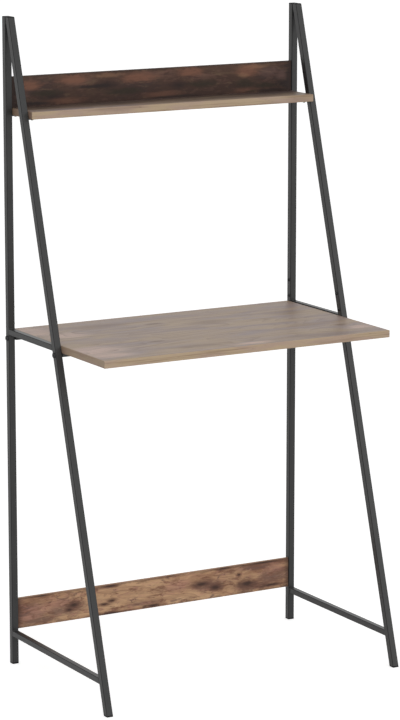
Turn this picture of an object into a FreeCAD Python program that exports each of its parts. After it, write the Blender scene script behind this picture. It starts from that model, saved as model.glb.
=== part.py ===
"""Ladder desk: two leaning side frames of square steel tube, a desktop, a shelf and two back boards.

Frame of the part: +Z up, +X to the sitter's right, the sitter at -Y.
The origin is on the floor, midway between the side frames and midway between
the rear posts' rear faces and the fronts of the front legs' feet.
"""
import FreeCAD, Part
import math
import os
import re
import Sketcher

SIZES = (
    # alias, millimetres, meaning
    ("frame_width", 728.0, "outer face to outer face of the side frames"),
    ("frame_height", 1426.0, "floor to the tops of the posts"),
    ("frame_depth", 456.0, "rear face of a rear post to the front of a front leg, on the floor"),
    ("tube_size", 15.0, "square tube of posts and legs"),
    ("tube_wall", 1.2, "wall of that tube"),
    ("tube_radius", 1.5, "its outer corner radius"),
    ("rung_size", 13.0, "square tube of the side rungs"),
    ("rung_wall", 1.0, "wall of that tube"),
    ("rung_radius", 1.5, "its outer corner radius"),
    ("low_rung_top", 76.5, "top of the low side rungs"),
    ("desk_rung_top", 752.5, "top of the side rungs beside the desktop"),
    ("splice_height", 781.0, "joint between lower and upper frame tubes"),
    ("sleeve_length", 66.0, "inner sleeve that bridges a joint"),
    ("sleeve_wall", 1.5, "wall of the sleeve"),
    ("sleeve_play", 0.15, "room between sleeve and tube on each side"),
    ("sleeve_screw_offset", 18.0, "screw to joint, along the tube"),
    ("weld_length", 14.0, "weld between post and leg below the top"),
    ("foot_sole", 3.0, "plastic between a tube's end and the floor"),
    ("plug_lip", 1.5, "thickness of a top plug's lip"),
    ("plug_rim", 0.5, "bevel round the outer rim of a foot or top plug"),
    ("plug_depth", 12.0, "length of a foot or plug inside the tube"),
    ("plug_play", 0.1, "room between plug and tube on each side"),
    ("desk_height", 751.0, "floor to the top of the desktop"),
    ("desk_reach", 426.0, "rear of the rear posts to the desktop's front edge"),
    ("desk_rear_inset", 4.0, "rear of the rear posts to the desktop's rear edge"),
    ("board_thickness", 16.0, "desktop and shelf"),
    ("board_play", 0.5, "room between a board's end and the frame"),
    ("band_thickness", 2.0, "edge band on desktop and shelf"),
    ("band_radius", 1.5, "rounding of a band's long edges"),
    ("shelf_height", 1231.0, "floor to the top of the shelf"),
    ("shelf_overhang", 19.0, "front of a front leg to the shelf's front edge, at the shelf's top"),
    ("upper_board_height", 66.5, "back board that stands on the shelf"),
    ("lower_board_height", 68.0, "back board near the floor"),
    ("lower_board_bottom", 79.3, "floor to the lower back board"),
    ("back_board_thickness", 9.0, "both back boards"),
    ("tab_thickness", 2.0, "steel tabs welded inside the frames"),
    ("tab_length", 22.0, "reach of a tab from the tube"),
    ("shelf_tab_width", 11.0, "shelf tab, along the shelf's depth"),
    ("board_tab_height", 24.0, "back board tab, up the post"),
    ("board_tab_inset", 2.0, "rear of the post to the rear of a back board tab"),
    ("crossbar_height", 7.0, "flat bars under the desktop"),
    ("crossbar_depth", 20.0, "flat bars under the desktop"),
    ("crossbar_tap_depth", 24.0, "threaded hole in a bar's end"),
    ("desk_screw_spread", 210.0, "middle of a crossbar to each of its desktop screws"),
    ("desk_rear_screw_inset", 15.0, "rear of the rear posts to the rear desktop screws"),
    ("bolt_size", 5.0, "frame bolts and splice screws, thread"),
    ("bolt_length", 35.0, "frame bolt under its head"),
    ("bolt_head", 12.5, "frame bolt's flat head, across"),
    ("bolt_head_height", 2.5, "frame bolt's flat head"),
    ("hex_key", 3.0, "hex socket in frame bolts and splice screws, across flats"),
    ("hex_depth", 1.3, "depth of that socket"),
    ("splice_screw_length", 8.0, "splice screw under its head"),
    ("splice_head", 8.5, "splice screw's button head, across"),
    ("splice_head_height", 2.2, "splice screw's button head"),
    ("wood_screw_size", 3.5, "screws into the boards, thread"),
    ("wood_screw_head", 7.0, "pan head, across its seat"),
    ("wood_screw_crown", 4.6, "pan head, across its top"),
    ("wood_screw_head_height", 1.8, "pan head"),
    ("desk_screw_length", 18.0, "through the crossbar into the desktop"),
    ("shelf_screw_length", 12.0, "through the tab into the shelf"),
    ("board_screw_length", 8.5, "through the tab into a back board"),
    ("screw_tip_room", 0.5, "pilot hole beyond a screw's tip"),
    ("bolt_room", 0.2, "radial room of a bolt in its clearance hole"),
    ("thread_room", 0.05, "radial room of a thread in its hole"),
)

DERIVED = (
    # the leg leans back until its rear face meets the post's front face at the top
    ("lean", "acos(tube_size / sqrt((frame_depth - tube_size)^2 + frame_height^2))"
             " - atan(frame_height / (frame_depth - tube_size))"),
    ("leg_section", "tube_size / cos(lean)"),
    ("frame_x", "(frame_width - tube_size) / 2"),
    ("inner_x", "frame_width / 2 - tube_size"),
    ("board_x", "inner_x - board_play"),
    ("rear_y", "frame_depth / 2"),
    ("post_y", "rear_y - tube_size / 2"),
    ("post_front_y", "rear_y - tube_size"),
    ("foot_y", "leg_section / 2 - frame_depth / 2"),
    ("leg_rear_y", "leg_section - frame_depth / 2"),
    ("crossbar_z", "desk_height - board_thickness - crossbar_height / 2"),
    ("front_crossbar_y", "foot_y + crossbar_z * tan(lean)"),
    ("rear_crossbar_y", "rear_y - crossbar_depth / 2"),
    ("shelf_front_y", "shelf_height * tan(lean) - frame_depth / 2 - shelf_overhang"),
    ("shelf_tab_z", "shelf_height - board_thickness - tab_thickness"),
    ("front_tab_y", "foot_y + (shelf_tab_z + tab_thickness / 2) * tan(lean)"),
    ("board_rear_y", "rear_y - board_tab_inset - tab_thickness"),
    ("sleeve_size", "tube_size - 2 * tube_wall - 2 * sleeve_play"),
)

SIDES = (("left", -1), ("right", 1))

doc = FreeCAD.newDocument("LadderDesk")
sheet = doc.addObject("Spreadsheet::Sheet", "Sizes")
nodes = []


def fill_sheet():
    """Driving sizes first, then the sizes that follow from them."""
    row = 1
    for alias, millimetres, meaning in SIZES:
        sheet.set(f"A{row}", meaning)
        sheet.set(f"B{row}", str(millimetres))
        sheet.setAlias(f"B{row}", alias)
        row += 1
    for alias, formula in DERIVED:
        sheet.set(f"B{row}", "=" + formula)
        sheet.setAlias(f"B{row}", alias)
        row += 1
    doc.recompute()


def named(expression):
    """The same expression with each alias spelt as a cell of the sheet."""
    aliases = "|".join(entry[0] for entry in SIZES + DERIVED)
    return re.sub(rf"\b({aliases})\b", r"Sizes.\1", expression)


def value(expression):
    """Present value of an expression, in millimetres or degrees."""
    result = sheet.evalExpression(named(expression))
    return float(getattr(result, "Value", result))


def bind(thing, field, expression):
    thing.setExpression(field, named(expression))


def new_body(label):
    body = doc.addObject("PartDesign::Body", label)
    body.Label = label
    return body


def place(thing, x, y, z, axis=None, angle="0"):
    """Bind the thing's place to the sheet; a turn is about one fixed axis."""
    if axis:
        thing.Placement = FreeCAD.Placement(FreeCAD.Vector(), FreeCAD.Rotation(axis, value(angle)))
        if "lean" in angle:
            bind(thing, "Placement.Rotation.Angle", angle)
    bind(thing, "Placement.Base.x", x)
    bind(thing, "Placement.Base.y", y)
    bind(thing, "Placement.Base.z", z)


def sketch_on(body, name, plane):
    sketch = body.newObject("Sketcher::SketchObject", f"{body.Name}_{name}")
    support = [f for f in body.Origin.OriginFeatures if f.Role == plane][0]
    sketch.AttachmentSupport = [(support, "")]
    sketch.MapMode = "FlatFace"
    return sketch


def tie(sketch, kind, line, point, expression):
    """Distance from the sketch's origin to a point, bound to an expression."""
    number = sketch.addConstraint(Sketcher.Constraint(kind, -1, 1, line, point, value(expression)))
    sketch.setExpression(f"Constraints[{number}]", named(expression))


def outline(body, name, plane, corners):
    """Closed straight-sided sketch; every corner is tied by its two coordinates."""
    sketch = sketch_on(body, name, plane)
    spots = [FreeCAD.Vector(value(x), value(y), 0) for x, y in corners]
    count = len(spots)
    for index in range(count):
        sketch.addGeometry(Part.LineSegment(spots[index], spots[(index + 1) % count]), False)
    for index in range(count):
        sketch.addConstraint(Sketcher.Constraint("Coincident", index, 2, (index + 1) % count, 1))
    for index, (x, y) in enumerate(corners):
        tie(sketch, "DistanceX", index, 1, x)
        tie(sketch, "DistanceY", index, 1, y)
    return sketch


def circle(body, name, plane, x, y, diameter):
    sketch = sketch_on(body, name, plane)
    centre = FreeCAD.Vector(value(x), value(y), 0)
    sketch.addGeometry(Part.Circle(centre, FreeCAD.Vector(0, 0, 1), value(diameter) / 2), False)
    tie(sketch, "DistanceX", 0, 3, x)
    tie(sketch, "DistanceY", 0, 3, y)
    number = sketch.addConstraint(Sketcher.Constraint("Diameter", 0, value(diameter)))
    sketch.setExpression(f"Constraints[{number}]", named(diameter))
    return sketch


def rectangle(x_half, y_low, y_high):
    """Corners of a rectangle that is centred across its first direction."""
    return ((f"-({x_half})", y_low), (x_half, y_low), (x_half, y_high), (f"-({x_half})", y_high))


def pad(body, sketch, length, both=False):
    feature = body.newObject("PartDesign::Pad", sketch.Name + "_pad")
    feature.Profile = sketch
    feature.SideType = "Symmetric" if both else "One side"
    bind(feature, "Length", length)
    body.Tip = feature
    doc.recompute()


def cut(body, sketch, length=None, both=False, reverse=False):
    """Pocket that has to take something away; with no length it goes through all."""
    before = body.Shape.Volume
    feature = body.newObject("PartDesign::Pocket", sketch.Name + "_cut")
    feature.Profile = sketch
    feature.SideType = "Symmetric" if both else "One side"
    feature.Reversed = reverse
    if length is None:
        feature.Type = "ThroughAll"
    else:
        feature.Type = "Length"
        bind(feature, "Length", length)
    body.Tip = feature
    doc.recompute()
    if not body.Shape.Volume < before:
        raise ValueError(f"{feature.Name} takes nothing away")


def ease_edges(body, kind, field, size, wanted):
    """Fillet or chamfer the straight edges of the body's tip for which wanted(middle, direction) holds."""
    tip = body.Tip
    picked = []
    for number, edge in enumerate(tip.Shape.Edges, start=1):
        if edge.Curve.TypeId != "Part::GeomLine":
            continue
        first, last = (vertex.Point for vertex in edge.Vertexes)
        if wanted((first + last) / 2, (last - first).normalize()):
            picked.append(f"Edge{number}")
    if not picked:
        raise ValueError(f"{body.Label} has no such edge")
    feature = body.newObject("PartDesign::" + kind, f"{body.Name}_{kind}")
    feature.Base = (tip, picked)
    bind(feature, field, size)
    body.Tip = feature
    doc.recompute()


def round_edges(body, radius, wanted):
    ease_edges(body, "Fillet", "Radius", radius, wanted)


def bevel_edges(body, size, wanted):
    ease_edges(body, "Chamfer", "Size", size, wanted)


def along(axis):
    """Test for edges that run along a unit axis."""
    return lambda middle, direction: abs(direction.dot(axis)) > 0.999


X_AXIS = FreeCAD.Vector(1, 0, 0)
Y_AXIS = FreeCAD.Vector(0, 1, 0)
Z_AXIS = FreeCAD.Vector(0, 0, 1)


def finish(thing):
    """Hand a finished piece over as a node of the part."""
    nodes.append(thing)


# ---------------------------------------------------------------- tubes

def level_cut(height, across, leaning):
    """Length along a tube, at a distance across it, where a level plane cuts it."""
    if not leaning:
        return height
    return f"({height}) / cos(lean) + ({across}) * tan(lean)"


def profile(half, low, high, leaning):
    """Side view between two level planes; the first coordinate is fore and aft."""
    return (
        (f"-({half})", level_cut(low, f"-({half})", leaning)),
        (half, level_cut(low, half, leaning)),
        (half, level_cut(high, half, leaning)),
        (f"-({half})", level_cut(high, f"-({half})", leaning)),
    )


def tube(label, size, wall, side_view, bore_view, radius=None):
    """Square tube along its own Z: the side view is padded across, rounded, then bored."""
    body = new_body(label)
    pad(body, outline(body, "side", "YZ_Plane", side_view), size, both=True)
    if radius:
        round_edges(body, radius, along(Z_AXIS))
    cut(body, outline(body, "bore", "YZ_Plane", bore_view), f"{size} - 2 * {wall}", both=True)
    return body


def stretched(view, reach):
    """The same side view carried past both ends."""
    (a, low_a), (b, low_b), (c, high_c), (d, high_d) = view
    return ((a, f"{low_a} - {reach}"), (b, f"{low_b} - {reach}"),
            (c, f"{high_c} + {reach}"), (d, f"{high_d} + {reach}"))


def upright(label, low_end, high_end, sheared_low, sheared_high, leaning):
    """Post or leg tube; an end is cut level, or square to the tube at a splice."""
    def view(half):
        low_front = level_cut(low_end, f"-({half})", leaning and sheared_low)
        low_rear = level_cut(low_end, half, leaning and sheared_low)
        high_rear = level_cut(high_end, half, leaning and sheared_high)
        high_front = level_cut(high_end, f"-({half})", leaning and sheared_high)
        return ((f"-({half})", low_front), (half, low_rear), (half, high_rear), (f"-({half})", high_front))

    half = "tube_size / 2"
    bore = "(tube_size / 2 - tube_wall)"
    return tube(label, "tube_size", "tube_wall", view(half), stretched(view(bore), "tube_size"), "tube_radius")


def seam(leaning):
    """Place of the splice along a tube."""
    return "splice_height / cos(lean)" if leaning else "splice_height"


def splice_hole(body, name, middle, diameter, side):
    """Hole through the wall that faces the other side frame."""
    cut(body, circle(body, name, "YZ_Plane", "0", middle, diameter), "tube_size", reverse=side < 0)


def stand(body, side, leaning):
    """Stand a post or a leg on the floor at its foot."""
    x = f"{side} * frame_x"
    if leaning:
        place(body, x, "foot_y", "0", X_AXIS, "-lean")
    else:
        place(body, x, "post_y", "0")


def make_uprights(name, side):
    """Rear post and front leg, each in a lower and an upper length."""
    for kind, leaning in (("rear_post", False), ("front_leg", True)):
        joint = seam(leaning)
        bolt_place = "crossbar_z / cos(lean)" if leaning else "crossbar_z"
        clear = "bolt_size + 2 * bolt_room"
        lower = upright(f"{name}_lower_{kind}", "foot_sole", joint, True, False, leaning)
        cut(lower, circle(lower, "bolt", "YZ_Plane", "0", bolt_place, clear), both=True)
        splice_hole(lower, "screw", f"{joint} - sleeve_screw_offset", clear, side)
        stand(lower, side, leaning)
        finish(lower)
        upper = upright(f"{name}_upper_{kind}", joint, "(frame_height - plug_lip)", False, True, leaning)
        splice_hole(upper, "screw", f"{joint} + sleeve_screw_offset", clear, side)
        stand(upper, side, leaning)
        finish(upper)


def make_sleeves(name, side):
    """Inner sleeves that bridge the splices."""
    for kind, leaning in (("rear", False), ("front", True)):
        half = "sleeve_size / 2"
        bore = "(sleeve_size / 2 - sleeve_wall)"
        view = rectangle(half, "-sleeve_length / 2", "sleeve_length / 2")
        bore_view = stretched(rectangle(bore, "-sleeve_length / 2", "sleeve_length / 2"), "tube_size")
        body = tube(f"{name}_{kind}_splice_sleeve", "sleeve_size", "sleeve_wall", view, bore_view)
        for label, offset in (("low", "-sleeve_screw_offset"), ("high", "sleeve_screw_offset")):
            splice_hole(body, label, offset, "bolt_size + 2 * thread_room", side)
        x = f"{side} * frame_x"
        if leaning:
            place(body, x, "foot_y + splice_height * tan(lean)", "splice_height", X_AXIS, "-lean")
        else:
            place(body, x, "post_y", "splice_height")
        finish(body)


def make_rungs(name, side):
    """Side rungs, flush with the frame's outer face, mitred to the leaning leg."""
    for kind, top in (("low", "low_rung_top"), ("desk", "desk_rung_top")):
        middle = f"({top} - rung_size / 2)"

        def view(half):
            # the body's Z runs to the rear and its Y runs down
            mitre_top = f"leg_rear_y + ({middle} + {half}) * tan(lean)"
            mitre_bottom = f"leg_rear_y + ({middle} - {half}) * tan(lean)"
            return ((f"-({half})", mitre_top), (half, mitre_bottom),
                    (half, "post_front_y"), (f"-({half})", "post_front_y"))

        bore_view = stretched(view("(rung_size / 2 - rung_wall)"), "rung_size")
        body = tube(f"{name}_{kind}_rung", "rung_size", "rung_wall", view("rung_size / 2"), bore_view,
                    "rung_radius")
        place(body, f"{side} * (frame_width - rung_size) / 2", "0", middle, X_AXIS, "-90")
        finish(body)


def at_level(height, leaning):
    """Test for a tube's crosswise edges at a height above the floor."""
    tilt = math.radians(value("lean")) if leaning else 0

    def test(middle, direction):
        level = middle.z * math.cos(tilt) - middle.y * math.sin(tilt)
        return abs(direction.x) > 0.999 and abs(level - value(height)) < 0.01

    return test


def end_piece(label, side, leaning, end, tube_end, inner_end):
    """Moulded plastic piece in a tube's end: a lip as wide as the tube and a spigot inside it."""
    body = new_body(label)
    lip = profile("tube_size / 2", *sorted((end, tube_end), key=value), leaning)
    pad(body, outline(body, "lip", "YZ_Plane", lip), "tube_size", both=True)
    round_edges(body, "tube_radius", along(Z_AXIS))
    bevel_edges(body, "plug_rim", at_level(end, leaning))
    inside = "(tube_size / 2 - tube_wall - plug_play)"
    spigot = profile(inside, *sorted((tube_end, inner_end), key=value), leaning)
    pad(body, outline(body, "spigot", "YZ_Plane", spigot), f"2 * {inside}", both=True)
    stand(body, side, leaning)
    finish(body)


def make_end_pieces(name, side):
    """Feet in the tubes' lower ends and plugs in their tops."""
    for kind, leaning in (("rear", False), ("front", True)):
        end_piece(f"{name}_{kind}_foot_cap", side, leaning, "0", "foot_sole", "(foot_sole + plug_depth)")
        end_piece(f"{name}_{kind}_top_plug", side, leaning, "frame_height", "(frame_height - plug_lip)",
                  "(frame_height - plug_lip - plug_depth)")


def make_top_weld(name, side):
    """Weld that fills the wedge between post and leg just under their tops."""
    body = new_body(f"{name}_top_weld")

    def leg_face(height):
        return f"post_front_y - (frame_height - {height}) * tan(lean)"

    low = "(frame_height - plug_lip - weld_length)"
    high = "(frame_height - plug_lip)"
    wedge = (("post_front_y", low), ("post_front_y", high), (leg_face(high), high), (leg_face(low), low))
    pad(body, outline(body, "wedge", "YZ_Plane", wedge), "tube_size - 2 * tube_radius", both=True)
    place(body, f"{side} * frame_x", "0", "0")
    finish(body)


# ---------------------------------------------------------------- boards

def block(label, x_half, y_low, y_high, height):
    """Plain board or bar, centred across X, standing on its own XY plane."""
    body = new_body(label)
    pad(body, outline(body, "plan", "XY_Plane", rectangle(x_half, y_low, y_high)), height)
    return body


def edge_bands(board, rear, front, z):
    """Four strips round a board's edge; the front and rear strips run the whole length."""
    for kind, y in (("front", front), ("rear", f"({rear} - band_thickness)")):
        strip = block(f"{board}_{kind}_edge_band", "board_x", "0", "band_thickness", "board_thickness")
        outer = 0 if kind == "front" else value("band_thickness")
        round_edges(strip, "band_radius", lambda middle, direction, outer=outer:
                    abs(direction.x) > 0.999 and abs(middle.y - outer) < 0.01)
        place(strip, "0", y, z)
        finish(strip)
    for name, side in SIDES:
        strip = block(f"{board}_{name}_edge_band", "band_thickness / 2", f"{front} + band_thickness",
                      f"{rear} - band_thickness", "board_thickness")
        round_edges(strip, "band_radius", lambda middle, direction, side=side:
                    abs(direction.y) > 0.999 and middle.x * side > 0)
        place(strip, f"{side} * (board_x - band_thickness / 2)", "0", z)
        finish(strip)


def make_desktop():
    rear = "(rear_y - desk_rear_inset)"
    front = "(rear_y - desk_reach)"
    low = "desk_height - board_thickness"
    board = block("desktop", "(board_x - band_thickness)", f"{front} + band_thickness",
                  f"{rear} - band_thickness", "board_thickness")
    pilot = "wood_screw_size + 2 * thread_room"
    depth = "desk_screw_length - crossbar_height + screw_tip_room"
    for row, y in (("front", "front_crossbar_y"), ("rear", "rear_y - desk_rear_screw_inset")):
        for name, side in SIDES:
            hole = circle(board, f"{row}_{name}_pilot", "XY_Plane", f"{side} * desk_screw_spread", y, pilot)
            cut(board, hole, depth, reverse=True)
    place(board, "0", "0", low)
    finish(board)
    edge_bands("desktop", rear, front, low)


def make_shelf():
    rear = "rear_y"
    front = "shelf_front_y"
    low = "shelf_height - board_thickness"
    board = block("upper_shelf", "(board_x - band_thickness)", f"{front} + band_thickness",
                  f"{rear} - band_thickness", "board_thickness")
    pilot = "wood_screw_size + 2 * thread_room"
    depth = "shelf_screw_length - tab_thickness + screw_tip_room"
    for name, side in SIDES:
        for row, y in (("front", "front_tab_y"), ("rear", "post_y")):
            x = f"{side} * (inner_x - tab_length / 2)"
            hole = circle(board, f"{name}_{row}_pilot", "XY_Plane", x, y, pilot)
            cut(board, hole, depth, reverse=True)
    place(board, "0", "0", low)
    finish(board)
    edge_bands("shelf", rear, front, low)


def make_back_boards():
    """Boards between the rear posts: one stands on the shelf, one ties the feet."""
    for kind, low in (("upper", "shelf_height"), ("lower", "lower_board_bottom")):
        height = f"{kind}_board_height"
        board = block(f"{kind}_back_board", "board_x", "-back_board_thickness", "0", height)
        pilot = "wood_screw_size + 2 * thread_room"
        depth = "board_screw_length - tab_thickness + screw_tip_room"
        for name, side in SIDES:
            # the plane's Y is the board's height and its normal points to the front
            x = f"{side} * (inner_x - tab_length / 2)"
            hole = circle(board, f"{name}_pilot", "XZ_Plane", x, f"{height} / 2", pilot)
            cut(board, hole, depth, reverse=True)
        place(board, "0", "board_rear_y", low)
        finish(board)


# ---------------------------------------------------------------- steel under and behind the boards

def make_crossbars():
    """Flat bars that tie the side frames under the desktop, threaded at both ends."""
    for kind, y, screw_y in (("front", "front_crossbar_y", "0"),
                             ("rear", "rear_crossbar_y", "rear_y - desk_rear_screw_inset - rear_crossbar_y")):
        half = "crossbar_depth / 2"
        bar = block(f"{kind}_crossbar", "inner_x", f"-{half}", half, "crossbar_height")
        bolt_y = "0" if kind == "front" else "post_y - rear_crossbar_y"
        thread = "bolt_size + 2 * thread_room"
        for name, side in SIDES:
            tap = circle(bar, f"{name}_tap", "YZ_Plane", bolt_y, "crossbar_height / 2", thread)
            bind(tap, "AttachmentOffset.Base.z", f"{side} * inner_x")
            cut(bar, tap, "crossbar_tap_depth", reverse=side < 0)
            hole = circle(bar, f"{name}_screw", "XY_Plane", f"{side} * desk_screw_spread", screw_y,
                          "wood_screw_size + 2 * bolt_room")
            cut(bar, hole, reverse=True)
        place(bar, "0", y, "desk_height - board_thickness - crossbar_height")
        finish(bar)


def make_tabs(name, side):
    """Tabs welded to the inner faces: two carry the shelf, two hold the back boards."""
    half = "tab_length / 2"
    clear = "wood_screw_size + 2 * bolt_room"
    x = f"{side} * (inner_x - {half})"
    for kind, y in (("rear", "post_y"), ("front", "front_tab_y")):
        width = "shelf_tab_width / 2"
        tab = block(f"{name}_{kind}_shelf_tab", half, f"-{width}", width, "tab_thickness")
        cut(tab, circle(tab, "screw", "XY_Plane", "0", "0", clear), reverse=True)
        place(tab, x, y, "shelf_tab_z")
        finish(tab)
    for kind, low in (("upper", "shelf_height"), ("lower", "lower_board_bottom")):
        depth = "tab_thickness / 2"
        tab = block(f"{name}_{kind}_board_tab", half, f"-{depth}", depth, "board_tab_height")
        cut(tab, circle(tab, "screw", "XZ_Plane", "0", "board_tab_height / 2", clear), both=True)
        place(tab, x, "rear_y - board_tab_inset - tab_thickness / 2",
              f"{low} + ({kind}_board_height - board_tab_height) / 2")
        finish(tab)


# ---------------------------------------------------------------- fasteners

def turned(body, corners):
    """Revolve half a section about the body's Z."""
    sketch = outline(body, "half", "XZ_Plane", corners)
    feature = body.newObject("PartDesign::Revolution", body.Name + "_turn")
    feature.Profile = sketch
    feature.ReferenceAxis = (sketch, ["V_Axis"])
    feature.Angle = 360
    body.Tip = feature
    doc.recompute()


def machine_screw(label, length, head, head_height, crown):
    """Hex socket screw along Z with its head up; the head's seat is at Z = 0."""
    body = new_body(label)
    shank = "bolt_size / 2"
    rim = f"{head} / 2"
    turned(body, (("0", f"-{length}"), (shank, f"-{length}"), (shank, "0"), (rim, "0"),
                  (f"{head} / 2 * {crown}", head_height), ("0", head_height)))
    corner = "hex_key / 2 / cos(30)"
    hexagon = [(f"{corner} * cos({60 * k})", f"{corner} * sin({60 * k})") for k in range(6)]
    socket = outline(body, "socket", "XY_Plane", hexagon)
    bind(socket, "AttachmentOffset.Base.z", head_height)
    cut(body, socket, "hex_depth")
    return body


def wood_screw(label, length):
    """Pan-head screw along Z with its head up, its point left off; the head's seat is at Z = 0."""
    body = new_body(label)
    shank = "wood_screw_size / 2"
    turned(body, (("0", f"-{length}"), (shank, f"-{length}"), (shank, "0"), ("wood_screw_head / 2", "0"),
                  ("wood_screw_crown / 2", "wood_screw_head_height"), ("0", "wood_screw_head_height")))
    return body


def set_of(label, pattern, places):
    """One node that holds a copy of the fastener at each place."""
    copies = []
    for number, (x, y, z, axis, angle) in enumerate(places, start=1):
        copy = doc.addObject("App::Link", f"{label}_{number}")
        copy.LinkedObject = pattern
        copy.LinkTransform = False
        place(copy, x, y, z, axis, angle)
        copies.append(copy)
    group = doc.addObject("Part::Compound", label)
    group.Label = label
    group.Links = copies
    doc.recompute()
    finish(group)


def make_fasteners():
    bolt = machine_screw("frame_bolt", "bolt_length", "bolt_head", "bolt_head_height", "0.86")
    bolt_places = []
    for name, side in SIDES:
        for y in ("post_y", "front_crossbar_y"):
            bolt_places.append((f"{side} * frame_width / 2", y, "crossbar_z", Y_AXIS, f"{side} * 90"))
    set_of("crossbar_bolts", bolt, bolt_places)

    screw = machine_screw("button_screw", "splice_screw_length", "splice_head", "splice_head_height", "0.65")
    seam_y = "foot_y + splice_height * tan(lean)"
    splice_places = []
    for name, side in SIDES:
        x = f"{side} * inner_x"
        facing = f"{side} * -90"
        for offset in ("-sleeve_screw_offset", "sleeve_screw_offset"):
            splice_places.append((x, "post_y", f"splice_height + {offset}", Y_AXIS, facing))
            splice_places.append((x, f"{seam_y} + {offset} * sin(lean)",
                                  f"splice_height + {offset} * cos(lean)", Y_AXIS, facing))
    set_of("splice_screws", screw, splice_places)

    desk_places = []
    for y in ("front_crossbar_y", "rear_y - desk_rear_screw_inset"):
        for name, side in SIDES:
            desk_places.append((f"{side} * desk_screw_spread", y,
                                "desk_height - board_thickness - crossbar_height", X_AXIS, "180"))
    set_of("desktop_screws", wood_screw("long_wood_screw", "desk_screw_length"), desk_places)

    shelf_places = []
    tab_x = "(inner_x - tab_length / 2)"
    for name, side in SIDES:
        for y in ("front_tab_y", "post_y"):
            shelf_places.append((f"{side} * {tab_x}", y, "shelf_tab_z", X_AXIS, "180"))
    set_of("shelf_screws", wood_screw("middle_wood_screw", "shelf_screw_length"), shelf_places)

    short = wood_screw("short_wood_screw", "board_screw_length")
    for kind, low in (("upper", "shelf_height"), ("lower", "lower_board_bottom")):
        height = f"{low} + {kind}_board_height / 2"
        places = []
        for name, side in SIDES:
            places.append((f"{side} * {tab_x}", "rear_y - board_tab_inset", height, X_AXIS, "-90"))
        set_of(f"{kind}_back_board_screws", short, places)


def check_document():
    """Stop if any object failed, or if any node's shape isn't whole."""
    doc.recompute()
    for thing in doc.Objects:
        if "Invalid" in thing.State or "Error" in thing.State:
            raise ValueError(f"{thing.Name}: {thing.State}")
    for node in nodes:
        shape = node.Shape
        if shape.isNull() or not shape.isValid() or not shape.Solids:
            raise ValueError(f"{node.Label} has no valid solid")


def main():
    fill_sheet()
    for name, side in SIDES:
        make_uprights(name, side)
        make_sleeves(name, side)
        make_rungs(name, side)
        make_end_pieces(name, side)
        make_top_weld(name, side)
        make_tabs(name, side)
    make_crossbars()
    make_desktop()
    make_shelf()
    make_back_boards()
    make_fasteners()
    check_document()
    os.makedirs("parts", exist_ok=True)
    for node in nodes:
        node.Shape.exportStep(f"parts/{node.Label}.step")
    print(len(nodes), "nodes", round(value("lean"), 3), "degrees of lean")


main()
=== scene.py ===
"""Ladder desk: finishes, weld beads and stage for the packed steel-and-board frame.

Lengths are metres in the frame of the part: +Z up, +X to the sitter's right, the sitter at -Y.
"""
import math

import bpy
from mathutils import Matrix, Vector


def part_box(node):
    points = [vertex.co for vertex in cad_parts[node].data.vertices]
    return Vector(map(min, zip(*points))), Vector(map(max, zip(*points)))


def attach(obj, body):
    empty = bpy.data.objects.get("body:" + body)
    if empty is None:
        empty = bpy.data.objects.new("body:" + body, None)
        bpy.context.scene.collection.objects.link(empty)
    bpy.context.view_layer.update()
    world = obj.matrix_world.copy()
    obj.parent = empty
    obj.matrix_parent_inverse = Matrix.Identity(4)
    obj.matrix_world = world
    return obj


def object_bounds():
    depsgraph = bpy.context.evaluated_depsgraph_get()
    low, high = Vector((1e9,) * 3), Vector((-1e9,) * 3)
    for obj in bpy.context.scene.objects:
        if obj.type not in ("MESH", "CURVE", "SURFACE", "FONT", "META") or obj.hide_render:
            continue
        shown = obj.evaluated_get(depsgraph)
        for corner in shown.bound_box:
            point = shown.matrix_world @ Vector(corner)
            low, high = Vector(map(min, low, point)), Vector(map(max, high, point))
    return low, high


bl_info = {
    "name": "Ladder Desk",
    "version": (1, 0, 0),
    "blender": (4, 5, 0),
    "location": "3D View > Sidebar > Ladder Desk",
    "description": "Finishes, weld beads and stage for a ladder desk",
    "category": "Object",
}

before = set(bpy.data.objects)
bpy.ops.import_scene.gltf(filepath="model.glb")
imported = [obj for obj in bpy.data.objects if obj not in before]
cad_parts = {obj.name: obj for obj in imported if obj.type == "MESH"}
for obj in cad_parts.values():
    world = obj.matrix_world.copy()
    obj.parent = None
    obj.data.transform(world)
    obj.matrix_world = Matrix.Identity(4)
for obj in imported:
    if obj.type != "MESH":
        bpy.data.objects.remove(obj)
CAD_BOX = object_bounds()

BODY = "root"
INWARDS = {"left": 1, "right": -1}  # the side frames, and the way along X from each to the desk's middle


def both_sides(*kinds):
    """Names of the CAD nodes that each side frame has one of."""
    return [f"{side}_{kind}" for side in INWARDS for kind in kinds]


RUNG_KINDS = ("low_rung", "desk_rung")
TAB_KINDS = ("front_shelf_tab", "rear_shelf_tab", "upper_board_tab", "lower_board_tab")

TUBES = both_sides("lower_rear_post", "upper_rear_post", "lower_front_leg", "upper_front_leg")
RUNGS = both_sides(*RUNG_KINDS)
TABS = both_sides(*TAB_KINDS)
TOP_WELDS = both_sides("top_weld")
CROSSBARS = ["front_crossbar", "rear_crossbar"]
CAPS = both_sides("rear_foot_cap", "front_foot_cap", "rear_top_plug", "front_top_plug")
SLEEVES = both_sides("rear_splice_sleeve", "front_splice_sleeve")
SCREWS = ["crossbar_bolts", "splice_screws", "desktop_screws", "shelf_screws", "upper_back_board_screws",
          "lower_back_board_screws"]


# ---------------------------------------------------------------- what a user would change

def display(red, green, blue):
    """Linear colour of a colour given as it shows on a screen, 0 to 255."""
    def linear(level):
        share = level / 255
        return share / 12.92 if share <= 0.04045 else ((share + 0.055) / 1.055) ** 2.4
    return (linear(red), linear(green), linear(blue))


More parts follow.
